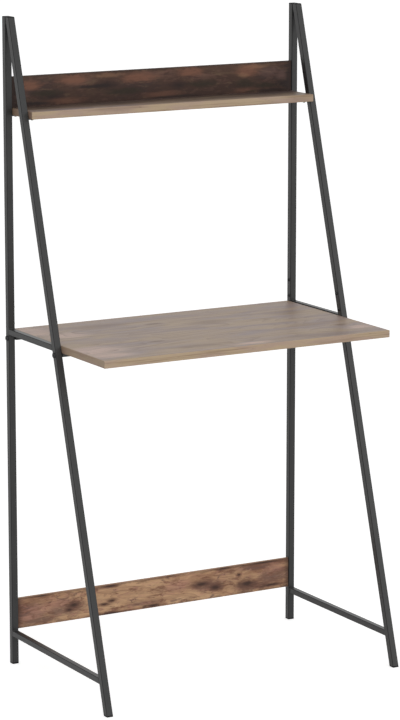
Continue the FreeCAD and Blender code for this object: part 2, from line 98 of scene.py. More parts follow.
def colour_property(name, description, default):
    """Setting that is a linear colour."""
    return bpy.props.FloatVectorProperty(
        name=name, description=description, default=default, size=3, min=0.0, max=1.0, subtype="COLOR")


def length_property(name, description, default):
    """Setting in metres."""
    return bpy.props.FloatProperty(
        name=name, description=description, default=default, min=0.0, unit="LENGTH", subtype="DISTANCE")


def angle_property(name, description, degrees):
    """Setting that is an angle, its default in degrees."""
    return bpy.props.FloatProperty(
        name=name, description=description, default=math.radians(degrees), unit="ROTATION", subtype="ANGLE")


def share_property(name, description, default):
    """Setting from 0 to 1."""
    return bpy.props.FloatProperty(
        name=name, description=description, default=default, min=0.0, max=1.0, subtype="FACTOR")


def place_property(name, description, default):
    """Setting that is a point."""
    return bpy.props.FloatVectorProperty(
        name=name, description=description, default=default, size=3, unit="LENGTH", subtype="TRANSLATION")


def power_property(name, description, default):
    """Setting in watts."""
    return bpy.props.FloatProperty(
        name=name, description=description, default=default, min=0.0, unit="POWER")


class SteelSettings(bpy.types.PropertyGroup):
    """Powder coat and weld beads"""
    coat: colour_property("Coat", "Powder coat on tubes, bars and tabs", display(43, 43, 43))
    coat_shade: colour_property("Coat shade", "Darker patches of the powder coat", display(36, 36, 36))
    # painted shade: how far the tubes' rounded edges are darkened towards black
    coat_edge_painted_shade: share_property("Coat edge", "How much darker the coat is on the tubes' rounded edges", 0.85)
    coat_roughness: share_property("Coat roughness", "Roughness of the powder coat", 0.38)
    edge_roughness: share_property("Edge roughness", "Roughness of the coat on the rounded edges", 0.9)
    coat_grain: length_property("Coat grain", "Depth of the powder coat's texture", 0.00012)
    bead_radius: length_property("Bead radius", "Radius of a weld bead", 0.0017)
    bead_pitch: length_property("Bead pitch", "From one ripple of a weld bead to the next", 0.0013)
    bead_inset: length_property("Bead inset", "Bare length of a joint at each end of its bead", 0.0015)


class FittingSettings(bpy.types.PropertyGroup):
    """Plastic caps, screws and sleeves"""
    plastic: colour_property("Plastic", "Foot caps and top plugs", display(14, 14, 14))
    black_steel: colour_property("Black steel", "Bolts and screws", display(26, 26, 27))
    zinc: colour_property("Zinc", "Splice sleeves", display(176, 180, 184))
    plastic_grain: length_property("Plastic grain", "Depth of the plastic's texture", 0.00004)
    metal_grain: length_property("Metal grain", "Depth of the texture of screws and sleeves", 0.00002)


class BoardSettings(bpy.types.PropertyGroup):
    """Oak foil on desktop and shelf, their edge bands, and the weathered back boards"""
    taupe: colour_property("Taupe", "Main tone of the oak foil", display(157, 137, 123))
    mauve: colour_property("Mauve", "Cool blotches of the oak foil", display(146, 130, 127))
    tan: colour_property("Tan", "Warm blotches of the oak foil", display(164, 142, 119))
    rose: colour_property("Rose", "Pale pinkish blotches of the oak foil", display(206, 178, 164))
    umber: colour_property("Umber", "Dark streaks and knots of the oak foil", display(106, 82, 68))
    edging: colour_property("Edging", "Main tone of the edge bands", display(174, 152, 124))
    edging_pale: colour_property("Pale edging", "Pinkish lengths of the edge bands", display(168, 144, 126))
    edging_streak: colour_property("Edging streak", "Streaks of the edge bands", display(134, 110, 86))
    # painted shade on the side edge bands, as an umber tint
    desk_end_painted_shade: share_property("Desk end shade", "Umber tint of the desktop's side edge bands", 0.4)
    shelf_end_painted_shade: share_property("Shelf end shade", "Umber tint of the shelf's side edge bands", 0.7)
    honey: colour_property("Honey", "Pale golden tone of the weathered foil", display(205, 166, 129))
    amber: colour_property("Amber", "Main tone of the weathered foil", display(174, 133, 101))
    russet: colour_property("Russet", "Reddish tone of the weathered foil", display(120, 82, 65))
    blush: colour_property("Blush", "Pale reddish flecks of the weathered foil", display(184, 136, 116))
    plum: colour_property("Plum", "Mauve patches of the weathered foil", display(108, 82, 76))
    cocoa: colour_property("Cocoa", "Knots of the weathered foil", display(88, 62, 53))
    # bark also paints the shade on the shelf towards the back board and on the back boards' ends
    bark: colour_property(
        "Bark", "Cracks, edges and cores of knots, and the shelf's dark grain", display(54, 38, 32))
    moss: colour_property("Moss", "Olive shades of the upper back board", display(46, 39, 29))
    # this tone paints shade over the upper back board and at its ends, and also tints thin dark streaks
    streaks_and_painted_shade: colour_property("Soot", "Stain that darkens the upper back board", display(38, 28, 27))
    upper_painted_shade: share_property("Upper stain", "How much soot covers the upper back board", 0.79)
    upper_rim: share_property("Upper rim", "Darkness of the upper back board's long edges", 0.6)
    lower_rim: share_property("Lower rim", "Darkness of the lower back board's long edges", 0.4)
    oak_grain: length_property("Oak grain", "Depth of the oak foil's pores", 0.00008)
    band_grain: length_property("Band grain", "Depth of the edge bands' streaks", 0.00006)
    weathered_grain: length_property("Weathered grain", "Depth of the weathered foil's fibres", 0.00015)


class StageSettings(bpy.types.PropertyGroup):
    """Camera, lamps and floor"""
    camera_place: place_property("Camera", "Where the camera stands", (-3.2276, -5.6128, 1.9698))
    camera_turn: angle_property("Turn", "Camera's turn about the upright", -29.824)
    camera_dip: angle_property("Dip", "Camera's dip below level", 11.220)
    focal_length: bpy.props.FloatProperty(
        name="Focal length", description="Focal length of the camera's lens", default=152.59, min=1.0,
        unit="CAMERA")
    sky_light: bpy.props.FloatProperty(
        name="Sky light", description="Strength of the light from all round", default=0.62, min=0.0)
    key_light: power_property("Key light", "Power of the large lamp in front", 62.0)
    key_place: place_property("Key place", "Where the large lamp in front hangs", (-2.0, -4.2, 2.7))
    fill_light: power_property("Fill light", "Power of the large lamp at the right", 15.0)
    fill_place: place_property("Fill place", "Where the large lamp at the right hangs", (3.0, -3.2, 1.8))
    floor: colour_property("Floor", "Colour of the floor", (0.82, 0.82, 0.82))
    floor_lift: share_property(
        "Floor lift", "Extra brightness of the floor to the camera and reflections", 0.55)
    floor_mirrored: share_property("Floor mirrored", "Share of the floor lift that reflections see", 0.35)


# ---------------------------------------------------------------- tools for materials

BLACK = (0, 0, 0)


def filled(colour):
    """A colour as a socket holds it, with an alpha; another node's output stays as it is."""
    return colour if isinstance(colour, bpy.types.NodeSocket) else (*colour, 1.0)


def scaled(colour, times):
    """A colour made brighter or darker."""
    return [min(1.0, level * times) for level in colour]


class Finish:
    """A new material, and short ways to lay a pattern on it."""

    FAR = 1000.0  # in reaches, farther than any spot
    RAGGEDNESS = 1.2  # in reaches, how much farther away ragged noise can make a spot seem
    TINT_ENDS, TINT_FULL = 1.70, 0.85  # where a tint ends and where it is full, in reaches, outline included

    def __init__(self, name, roughness, metallic=0.0, specular=0.5):
        self.material = bpy.data.materials.new(name)
        self.material.use_nodes = True
        self.tree = self.material.node_tree
        self.shader = self.tree.nodes["Principled BSDF"]
        self.put("Roughness", roughness)
        self.put("Metallic", metallic)
        self.put("Specular IOR Level", specular)
        self.place = self.add("TexCoord").outputs["Object"]

    def feed(self, socket, value):
        """Link a socket to another node's output, or set its own value."""
        if isinstance(value, bpy.types.NodeSocket):
            self.tree.links.new(value, socket)
        else:
            socket.default_value = value

    def put(self, name, value):
        """Feed a socket of the shader."""
        self.feed(self.shader.inputs[name], value)

    def add(self, kind, inputs=None, **settings):
        """Add a node; each input is a value or another node's output."""
        node = self.tree.nodes.new("ShaderNode" + kind)
        for name, value in settings.items():
            setattr(node, name, value)
        for key, value in (inputs or {}).items():
            self.feed(node.inputs[key], value)
        return node

    def maths(self, operation, first, second=0.0, third=0.0):
        """Result of a Math node; each operand is a number or a socket."""
        return self.add("Math", {0: first, 1: second, 2: third}, operation=operation).outputs["Value"]

    def noise(self, per_metre, detail=3.0, roughness=0.5, distortion=0.0, shift=(0, 0, 0)):
        """Noise from 0 to 1, with its own number of features per metre along X, Y and Z."""
        where = self.add("Mapping", {"Vector": self.place, "Location": shift, "Scale": per_metre})
        return self.add("TexNoise", {
            "Vector": where.outputs["Vector"], "Scale": 1.0, "Detail": detail,
            "Roughness": roughness, "Distortion": distortion}).outputs["Fac"]

    def spread(self, value, low, high, start=0.0, end=1.0):
        """Smooth step of a value, from start at low to end at high."""
        return self.add("MapRange", {
            "Value": value, "From Min": low, "From Max": high, "To Min": start, "To Max": end},
            interpolation_type="SMOOTHSTEP").outputs["Result"]

    def ramp(self, factor, *stops):
        """Colours between (place, colour) stops."""
        node = self.add("ValToRGB", {"Fac": factor})
        elements = node.color_ramp.elements
        while len(elements) < len(stops):
            elements.new(1.0)
        for element, (position, colour) in zip(elements, stops):
            element.position = position
            element.color = filled(colour)
        return node.outputs["Color"]

    def mix(self, factor, first, second):
        """Mix two colours; each is a plain colour or a socket."""
        return self.add("Mix", {0: factor, 6: filled(first), 7: filled(second)}, data_type="RGBA").outputs[2]

    def axis(self, name):
        """One coordinate of the surface."""
        return self.add("SeparateXYZ", {"Vector": self.place}).outputs[name]

    def facing(self, name):
        """How much the surface faces along an axis, from -1 to 1."""
        normal = self.add("NewGeometry").outputs["Normal"]
        return self.add("SeparateXYZ", {"Vector": normal}).outputs[name]

    def nearest(self, spots):
        """Distance from the nearest spot, 1 at its reach; a spot is a centre and a reach along each axis."""
        distance = self.FAR
        for centre, reach in spots:
            where = self.add("Mapping", {
                "Vector": self.place, "Location": centre, "Scale": reach}, vector_type="TEXTURE")
            away = self.add("VectorMath", {0: where.outputs["Vector"]}, operation="LENGTH").outputs["Value"]
            distance = self.maths("MINIMUM", away, distance)
        return distance

    def tint_near(self, base, nearest, reaches, tone, strength, ragged):
        """Tint a base out to about so many reaches from the nearest spot, with a ragged outline."""
        away = self.maths("DIVIDE", nearest, reaches)
        uneven = self.maths("MULTIPLY_ADD", ragged, self.RAGGEDNESS, away)
        return self.mix(self.spread(uneven, self.TINT_ENDS, self.TINT_FULL, 0.0, strength), base, tone)

    def lay_spots(self, base, spots, tone, strength, ragged):
        """Tint a base in spots."""
        return self.tint_near(base, self.nearest(spots), 1.0, tone, strength, ragged)

    def growth_rings(self, field, nearest, count):
        """Late wood of growth rings: they follow a field, and flow round the nearest knot."""
        pull, softness, sharpness = 0.10, 0.4, 3.0
        steep = self.maths("ADD", self.maths("POWER", nearest, 2.0), softness)
        field = self.maths("ADD", field, self.maths("DIVIDE", pull, steep))
        return self.maths("POWER", self.maths("FRACT", self.maths("MULTIPLY", field, count)), sharpness)

    def colour(self, value):
        """Colour of the whole surface, from a plain colour or a socket."""
        self.put("Base Color", filled(value))

    def relief(self, height, depth):
        """Bump from a height; a height of 1 stands for the depth, in metres."""
        bump = self.add("Bump", {"Height": height, "Distance": depth, "Strength": 1.0})
        self.put("Normal", bump.outputs["Normal"])


def dress(nodes, material):
    """Give CAD nodes one material."""
    for name in nodes:
        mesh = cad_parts[name].data
        mesh.materials.clear()
        mesh.materials.append(material)


# ---------------------------------------------------------------- steel, plastic and zinc

def powder_coat(settings):
    """Matt charcoal powder coat with an orange-peel surface, with painted shade darkening its rounded edges,
    which are also rougher.
    """
    finish = Finish("powder_coat", roughness=settings.coat_roughness)
    clouds = finish.noise((14, 14, 14), detail=2)
    speckle = finish.noise((1500, 1500, 1500), detail=1)
    cloudy = finish.maths("MULTIPLY", clouds, 0.55)
    tone = finish.maths("ADD", cloudy, finish.maths("MULTIPLY", speckle, 0.45))
    base = finish.ramp(tone, (0.38, settings.coat_shade), (0.62, settings.coat))
    # a flat face points along X or across it, so their product is above 0 only where steel is rounded
    along = finish.maths("POWER", finish.facing("X"), 2.0)
    across = finish.maths("SUBTRACT", 1.0, along)
    rounded = finish.spread(finish.maths("MULTIPLY", along, across), 0.02, 0.2)
    # painted shade on the rounded edges
    finish.colour(finish.mix(finish.maths("MULTIPLY", rounded, settings.coat_edge_painted_shade), base, BLACK))
    roughness = finish.spread(rounded, 0.0, 1.0, settings.coat_roughness, settings.edge_roughness)
    finish.put("Roughness", roughness)
    peel = finish.noise((620, 620, 620), detail=2, roughness=0.6)
    finish.relief(peel, settings.coat_grain)
    return finish.material


def moulded_plastic(settings):
    """Black plastic with a fine spark-eroded texture."""
    finish = Finish("black_plastic", roughness=0.65, specular=0.15)
    clouds = finish.noise((90, 90, 90))
    finish.colour(finish.ramp(clouds, (0.35, settings.plastic), (0.7, scaled(settings.plastic, 1.5))))
    finish.relief(finish.noise((2600, 2600, 2600), detail=1), settings.plastic_grain)
    return finish.material


def black_oxide(settings):
    """Blackened steel with an oily sheen."""
    finish = Finish("dark_steel", roughness=0.38, metallic=0.6)
    wear = finish.noise((700, 700, 700), detail=4)
    finish.colour(finish.ramp(wear, (0.45, settings.black_steel), (0.8, scaled(settings.black_steel, 2.2))))
    finish.relief(finish.noise((1800, 1800, 1800), detail=2), settings.metal_grain)
    return finish.material


def zinc_plate(settings):
    """Bright zinc with faint clouds."""
    finish = Finish("zinc_steel", roughness=0.32, metallic=1.0)
    clouds = finish.noise((240, 240, 240), detail=4)
    finish.colour(finish.ramp(clouds, (0.3, scaled(settings.zinc, 0.72)), (0.65, settings.zinc)))
    finish.relief(finish.noise((1200, 1200, 90), detail=2), settings.metal_grain)
    return finish.material


# ---------------------------------------------------------------- oak foil and edge bands

THROUGH = 10  # a reach far past any board's thickness, so a mark of a print goes right through it


def level_spots(marks):
    """Spots on a level board; a mark is its X, its Y, half its length and half its width."""
    return [((x, y, 0), (length, width, THROUGH)) for x, y, length, width in marks]


def upright_spots(marks):
    """Spots on an upright face; a mark is its X, its height, half its length and half its width."""
    return [((x, 0, z), (length, THROUGH, width)) for x, z, length, width in marks]


DESK_KNOTS = level_spots((
    (0.291, -0.091, 0.020, 0.013), (-0.060, 0.120, 0.026, 0.010), (-0.150, -0.060, 0.022, 0.008)))
# pale blotches of the foil; those at the left rear are a painted sheen
DESK_ROSE_AND_PAINTED_SHEEN = level_spots((
    (-0.315, -0.090, 0.090, 0.060), (-0.310, -0.150, 0.070, 0.030), (-0.285, 0.090, 0.060, 0.040),
    (-0.335, 0.165, 0.060, 0.070), (0.315, -0.130, 0.045, 0.022), (0.020, -0.176, 0.060, 0.014)))
DESK_UMBER = level_spots((
    (0.262, 0.095, 0.060, 0.036), (0.240, -0.055, 0.080, 0.026), (0.210, -0.175, 0.110, 0.034),
    (-0.180, 0.150, 0.090, 0.034), (-0.100, -0.150, 0.080, 0.020), (0.060, 0.080, 0.080, 0.026)))
SHELF_UMBER = level_spots(((0.240, 0.150, 0.060, 0.020), (-0.100, 0.160, 0.080, 0.020)))
SHELF_BAND_MARKS = upright_spots((
    (0.318, 1.223, 0.060, 0.030), (0.245, 1.217, 0.050, 0.006), (-0.140, 1.226, 0.060, 0.006)))


def oak_foil(settings, name, knots, rose_spots, umber_spots, shift):
    """Greyed oak along X: soft blotches, growth rings that flow round knots, streaks and pores."""
    finish = Finish(name, roughness=0.5)
    blotches = finish.noise((6, 20, 20), detail=4, distortion=0.7, shift=shift)
    base = finish.ramp(blotches, (0.36, settings.mauve), (0.48, settings.taupe), (0.60, settings.tan))
    ragged = finish.noise((12, 130, 130), detail=4, roughness=0.6, distortion=0.4, shift=shift)
    base = finish.lay_spots(base, rose_spots, settings.rose, 0.75, ragged)
    base = finish.lay_spots(base, umber_spots, settings.umber, 0.45, ragged)
    field = finish.noise((1.2, 6, 6), detail=2, distortion=0.4, shift=shift)
    nearest_knot = finish.nearest(knots)
    rings = finish.growth_rings(field, nearest_knot, 26)
    faded = finish.spread(finish.noise((3, 24, 24), shift=shift), 0.40, 0.62, 0.10, 0.50)
    base = finish.mix(finish.maths("MULTIPLY", rings, faded), base, settings.umber)
    streaks = finish.noise((5, 170, 170), detail=4, roughness=0.65, distortion=0.3, shift=shift)
    base = finish.mix(finish.spread(streaks, 0.50, 0.30, 0.0, 0.45), base, settings.umber)
    base = finish.mix(finish.spread(streaks, 0.54, 0.72, 0.0, 0.40), base, settings.tan)
    base = finish.tint_near(base, nearest_knot, 1.0, settings.umber, 0.8, ragged)
    pores = finish.noise((70, 2100, 2100), detail=2, shift=shift)
    base = finish.mix(finish.spread(pores, 0.58, 0.74, 0.0, 0.55), base, settings.umber)
    finish.relief(finish.maths("ADD", pores, finish.maths("MULTIPLY", streaks, 0.4)), settings.oak_grain)
    return finish, base


def desk_foil(settings):
    """Oak foil of the desktop."""
    finish, base = oak_foil(settings, "desk_oak_foil", DESK_KNOTS, DESK_ROSE_AND_PAINTED_SHEEN, DESK_UMBER, (0, 0, 0))
    finish.colour(base)
    return finish.material


def shelf_foil(settings):
    """Oak foil of the shelf, with painted shade from the back board laid in streaks of its grain, darker
    towards the board.
    """
    low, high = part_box("upper_shelf")
    finish, base = oak_foil(settings, "shelf_oak_foil", (), (), SHELF_UMBER, (4, 7, 0))
    ragged = finish.noise((9, 60, 60), detail=3)
    waves = finish.noise((3, 26, 26), detail=4, roughness=0.6, distortion=0.8, shift=(1, 3, 0))
    sway, fray = 0.09, 0.02  # how far long waves and small frays shift the start of the painted shade
    frayed = finish.maths("MULTIPLY_ADD", ragged, fray, -sway / 2)
    wander = finish.maths("MULTIPLY_ADD", waves, sway, frayed)
    uneven = finish.maths("ADD", finish.axis("Y"), wander)
    # painted shade that the back board casts on the shelf, laid in streaks of the grain
    painted_shade_from_board = finish.spread(uneven, low.y - 0.01, high.y - 0.02, 0.0, 0.92)
    streaks = finish.noise((4, 130, 130), detail=4, roughness=0.6, distortion=0.4)
    streaked_painted_shade = finish.maths("MULTIPLY", painted_shade_from_board, finish.spread(streaks, 0.34, 0.56, 0.62, 1.0))
    finish.colour(finish.mix(streaked_painted_shade, base, settings.bark))
    return finish.material


def edge_foil(settings, name, along_y, shade, marks=()):
    """Oak edge band with streaks along its length, short dark flecks and a few darker marks, and an umber
    painted shade by a share.
    """
    finish = Finish(name, roughness=0.48)
    long_way, short_way = 6.0, 170.0
    x_rate, y_rate = (short_way, long_way) if along_y else (long_way, short_way)
    bands = finish.noise((x_rate * 2, y_rate * 2, 60), detail=3)
    base = finish.ramp(bands, (0.40, settings.edging_pale), (0.56, settings.edging))
    streaks = finish.noise((x_rate, y_rate, 230), detail=4, roughness=0.6)
    base = finish.mix(finish.spread(streaks, 0.52, 0.30, 0.0, 0.8), base, settings.edging_streak)
    flecks = finish.noise((x_rate * 12, y_rate * 12, 900), detail=1)
    base = finish.mix(finish.spread(flecks, 0.66, 0.76, 0.0, 0.5), base, settings.umber)
    base = finish.lay_spots(base, marks, settings.umber, 0.28, streaks)
    # painted shade: an umber tint by a share
    finish.colour(finish.mix(shade, base, settings.umber))
    finish.relief(streaks, settings.band_grain)
    return finish.material


# ---------------------------------------------------------------- weathered foil

# a layer of patches is a tone, its strength and its marks
LOWER_PATCHES = (
    ("honey", 0.55, (
        (-0.080, 0.116, 0.230, 0.060), (0.195, 0.122, 0.050, 0.040), (0.060, 0.100, 0.110, 0.030))),
    ("plum", 0.75, (
        (-0.320, 0.106, 0.060, 0.032), (-0.232, 0.108, 0.070, 0.024), (-0.300, 0.090, 0.070, 0.014),
        (0.306, 0.108, 0.065, 0.022), (0.130, 0.112, 0.050, 0.016), (0.264, 0.138, 0.050, 0.009),
        (0.250, 0.094, 0.060, 0.016), (-0.040, 0.092, 0.060, 0.006))),
    ("blush", 0.65, (
        (-0.300, 0.116, 0.060, 0.014), (-0.250, 0.122, 0.050, 0.014), (0.052, 0.121, 0.044, 0.018),
        (0.312, 0.128, 0.034, 0.012), (-0.320, 0.100, 0.040, 0.008))),
)
LOWER_KNOTS = (
    (-0.211, 0.114, 0.020, 0.009), (-0.114, 0.110, 0.014, 0.005), (-0.222, 0.104, 0.012, 0.005),
    (-0.134, 0.104, 0.016, 0.004), (0.116, 0.116, 0.026, 0.008), (0.154, 0.104, 0.022, 0.009),
    (0.238, 0.101, 0.032, 0.012), (0.216, 0.125, 0.008, 0.005), (0.300, 0.090, 0.045, 0.005),
    (-0.118, 0.144, 0.026, 0.004), (0.176, 0.146, 0.022, 0.004), (0.280, 0.146, 0.046, 0.004),
    (-0.108, 0.081, 0.050, 0.004), (-0.008, 0.084, 0.026, 0.005), (-0.290, 0.146, 0.020, 0.003),
)
UPPER_PATCHES = (
    ("russet", 0.75, ((0.0, 1.266, 0.600, 0.120),)),
    ("plum", 0.85, (
        (0.300, 1.270, 0.070, 0.034), (-0.050, 1.262, 0.080, 0.030), (-0.290, 1.270, 0.080, 0.034))),
    ("blush", 0.9, (
        (0.000, 1.284, 0.070, 0.014), (-0.190, 1.280, 0.060, 0.016), (0.110, 1.274, 0.050, 0.010))),
)
UPPER_KNOTS = ((-0.120, 1.268, 0.034, 0.012), (0.060, 1.258, 0.028, 0.010), (-0.250, 1.250, 0.034, 0.010))
# a glaze is a layer of patches over the painted shade
UPPER_GLAZE = (
    ("russet", 0.95, (
        (0.236, 1.282, 0.042, 0.018), (0.090, 1.286, 0.040, 0.012), (-0.040, 1.280, 0.060, 0.014),
        (-0.200, 1.284, 0.050, 0.014), (-0.310, 1.276, 0.040, 0.014))),
    ("amber", 0.26, (
        (0.262, 1.289, 0.040, 0.006), (0.223, 1.271, 0.018, 0.007), (-0.120, 1.289, 0.050, 0.006))),
    ("russet", 0.45, (
        (0.232, 1.236, 0.042, 0.010), (0.020, 1.240, 0.060, 0.010), (-0.220, 1.238, 0.060, 0.010))),
    ("plum", 0.50, (
        (0.292, 1.276, 0.036, 0.014), (0.324, 1.266, 0.018, 0.018), (-0.330, 1.258, 0.030, 0.016))),
    ("moss", 0.80, (
        (0.229, 1.253, 0.036, 0.012), (0.281, 1.247, 0.040, 0.007), (0.248, 1.235, 0.020, 0.005),
        (0.120, 1.258, 0.050, 0.010), (-0.080, 1.252, 0.060, 0.009), (-0.270, 1.258, 0.050, 0.009))),
    ("streaks_and_painted_shade", 0.90, (
        (0.310, 1.234, 0.080, 0.006), (0.332, 1.248, 0.040, 0.014), (0.060, 1.233, 0.080, 0.005),
        (-0.150, 1.266, 0.060, 0.005), (-0.300, 1.236, 0.070, 0.006))),
    # painted shade at both ends, next to the posts
    ("streaks_and_painted_shade", 1.0, ((-0.352, 1.268, 0.030, 0.090), (0.354, 1.266, 0.024, 0.090))),
)
# the layers of a knot: its size in reaches, its tone and its strength
KNOT_LAYERS = ((1.7, "russet", 0.6), (1.1, "cocoa", 0.85), (0.5, "bark", 0.7))
SHADE_HIGH, SHADE_LOW = 0.94, 1.06  # how the painted shade's strength changes from a board's top to its underside
RIM_DEPTH = 0.005  # how far a dark rim reaches in from a back board's long edges
RIM_CORE = 0.001  # how far in it is darkest
RIM_WANDER = 0.024  # how unevenly it follows them
POST_PAINTED_SHADE_DEPTH = 0.014  # how far in from a back board's ends the posts' painted shade reaches
POST_PAINTED_SHADE = 0.65  # how dark that painted shade turns


def lay_patches(finish, settings, base, patches, ragged):
    """Tint a base in layers of patches."""
    for tone, strength, marks in patches:
        base = finish.lay_spots(base, upright_spots(marks), getattr(settings, tone), strength, ragged)
    return base


def weathered_foil(settings, name, board, patches, knots, painted_shade_share, glaze, rim):
    """Print of old timber along X: mottled ground, tinted patches, knots, painted shade, glaze and dark
    rims, and the posts' painted shade at its ends.
    """
    low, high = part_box(board)
    finish = Finish(name, roughness=0.62, specular=0.28)
    ground = finish.noise((4, 4, 20), detail=4, roughness=0.6, distortion=0.9)
    base = finish.ramp(ground, (0.34, settings.russet), (0.47, settings.amber), (0.60, settings.honey))
    ragged = finish.noise((45, 45, 120), detail=4, roughness=0.65, distortion=0.6)
    base = lay_patches(finish, settings, base, patches, ragged)
    mottle = finish.noise((26, 26, 84), detail=5, roughness=0.65, distortion=0.5)
    base = finish.mix(finish.spread(mottle, 0.51, 0.66, 0.0, 0.85), base, settings.russet)
    base = finish.mix(finish.spread(mottle, 0.46, 0.32, 0.0, 0.65), base, settings.honey)
    flecks = finish.noise((48, 48, 140), detail=3, distortion=0.3)
    base = finish.mix(finish.spread(flecks, 0.55, 0.68, 0.0, 0.5), base, settings.blush)
    smudges = finish.noise((20, 20, 70), detail=4, roughness=0.6, distortion=1.2, shift=(2, 5, 1))
    base = finish.mix(finish.spread(smudges, 0.58, 0.70, 0.0, 0.75), base, settings.plum)
    field = finish.noise((2.5, 2.5, 16), detail=2, distortion=0.6)
    nearest_knot = finish.nearest(upright_spots(knots))
    rings = finish.growth_rings(field, nearest_knot, 17)
    base = finish.mix(finish.maths("MULTIPLY", rings, 0.45), base, settings.russet)
    for reaches, tone, strength in KNOT_LAYERS:
        base = finish.tint_near(base, nearest_knot, reaches, getattr(settings, tone), strength, ragged)
    height = finish.axis("Z")
    # painted shade over the board, deeper towards its underside
    deeper_below = finish.spread(height, high.z, low.z, SHADE_HIGH * painted_shade_share, SHADE_LOW * painted_shade_share)
    base = finish.mix(deeper_below, base, settings.streaks_and_painted_shade)
    base = lay_patches(finish, settings, base, glaze, ragged)
    fibres = finish.noise((16, 16, 520), detail=4, roughness=0.7)
    base = finish.mix(finish.spread(fibres, 0.50, 0.28, 0.0, 0.3), base, settings.bark)
    cracks = finish.noise((38, 38, 260), detail=3, roughness=0.6, distortion=0.4)
    base = finish.mix(finish.spread(cracks, 0.62, 0.70, 0.0, 0.45), base, settings.bark)
    wander = finish.maths("MULTIPLY", finish.maths("SUBTRACT", ragged, 0.5), RIM_WANDER)
    uneven_height = finish.maths("ADD", height, wander)
    for edge, inwards in ((high.z, -1), (low.z, 1)):
        dark = finish.spread(
            uneven_height, edge + inwards * RIM_DEPTH, edge + inwards * RIM_CORE, 0.0, rim)
        base = finish.mix(dark, base, settings.bark)
    # painted shade that the posts cast on the board's ends
    for end, inwards in ((high.x, -1), (low.x, 1)):
        dark = finish.spread(finish.axis("X"), end + inwards * POST_PAINTED_SHADE_DEPTH, end, 0.0, POST_PAINTED_SHADE)
        base = finish.mix(dark, base, settings.bark)
    on_top = finish.spread(finish.facing("Z"), 0.4, 0.6, 0.0, 0.7)
    finish.colour(finish.mix(on_top, base, settings.bark if painted_shade_share else settings.amber))
    grain = finish.maths("ADD", fibres, finish.maths("MULTIPLY", ragged, 0.5))
    finish.relief(grain, settings.weathered_grain)
    return finish.material


# ---------------------------------------------------------------- weld beads

DROP_SEGMENTS, DROP_RINGS = 24, 12
DROP_SQUEEZE = 0.72  # a drop's length along its bead, as a share of the bead's width
VOXELS_IN_RADIUS = 5  # how finely a bead's drops are fused


def select_only(thing):
    """Deselect all but one object, and make it the active one."""
    bpy.ops.object.select_all(action="DESELECT")
    thing.select_set(True)
    bpy.context.view_layer.objects.active = thing


def apply_modifiers(thing):
    """Apply an object's modifiers in their order."""
    select_only(thing)
    for modifier in list(thing.modifiers):
        bpy.ops.object.modifier_apply(modifier=modifier.name)


def rippled_bead(length, settings):
    """One weld bead along its own X, its ripples left by a row of overlapping drops."""
    bpy.ops.object.select_all(action="DESELECT")
    bpy.ops.mesh.primitive_uv_sphere_add(
        segments=DROP_SEGMENTS, ring_count=DROP_RINGS, radius=settings.bead_radius)
    bead = bpy.context.object
    bpy.ops.object.mode_set(mode="EDIT")
    bpy.ops.transform.resize(value=(DROP_SQUEEZE, 1.0, 1.0))
    bpy.ops.object.mode_set(mode="OBJECT")
    row = bead.modifiers.new("row", "ARRAY")
    row.use_relative_offset = False
    row.use_constant_offset = True
    row.constant_offset_displace = (settings.bead_pitch, 0, 0)
    row.count = max(2, round((length - 2 * settings.bead_inset) / settings.bead_pitch))
    fuse = bead.modifiers.new("fuse", "REMESH")
    fuse.mode = "VOXEL"
    fuse.voxel_size = settings.bead_radius / VOXELS_IN_RADIUS
    fuse.use_smooth_shade = True
    apply_modifiers(bead)
    along = [vertex.co.x for vertex in bead.data.vertices]
    bead.data.transform(Matrix.Translation((-(min(along) + max(along)) / 2, 0, 0)))
    return bead


def lay_bead(pattern, name, start, end):
    """Copy a bead, with a mesh of its own, onto the line of a joint."""
    bead = pattern.copy()
    bead.name = name
    bead.data = pattern.data.copy()
    bpy.context.collection.objects.link(bead)
    turn = Vector((1, 0, 0)).rotation_difference(end - start).to_matrix().to_4x4()
    bead.data.transform(Matrix.Translation((start + end) / 2) @ turn)
    return bead


def rung_joints(rung, inwards, lean):
    """Top, bottom and inner line of a rung's joint at each end, inside its frame."""
    low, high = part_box(rung)
    outer_face, inner_face = (low.x, high.x) if inwards > 0 else (high.x, low.x)
    rise = (high.z - low.z) * lean
    front_low = Vector((inner_face, low.y, low.z))
    front_high = Vector((inner_face, low.y + rise, high.z))
    rear_low = Vector((inner_face, high.y, low.z))
    rear_high = Vector((inner_face, high.y, high.z))
    across = Vector((outer_face - inner_face, 0, 0))
    return [(corner, corner + across) for corner in (front_low, front_high, rear_low, rear_high)] + [
        (front_low, front_high), (rear_low, rear_high)]


def tab_joint(tab, inwards):
    """The line where a tab's root meets its tube: behind an upright tab, under a level one."""
    low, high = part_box(tab)
    root = low.x if inwards > 0 else high.x
    if high.z - low.z > high.y - low.y:
        return Vector((root, high.y, low.z)), Vector((root, high.y, high.z))
    return Vector((root, low.y, low.z)), Vector((root, high.y, low.z))


def frame_joints(side, inwards):
    """Both ends of each line that is welded in a side frame."""
    low_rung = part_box(f"{side}_low_rung")[0]
    desk_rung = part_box(f"{side}_desk_rung")[0]
    lean = (desk_rung.y - low_rung.y) / (desk_rung.z - low_rung.z)
    joints = []
    for kind in RUNG_KINDS:
        joints += rung_joints(f"{side}_{kind}", inwards, lean)
    return joints + [tab_joint(f"{side}_{kind}", inwards) for kind in TAB_KINDS]


# ---------------------------------------------------------------- stage

KEY_SIZE = (2.6, 2.2)
FILL_SIZE = (2.4, 2.4)
FLOOR_SIZE = 120
FAR_CLIP = 300
SENSOR_WIDTH = 36  # millimetres


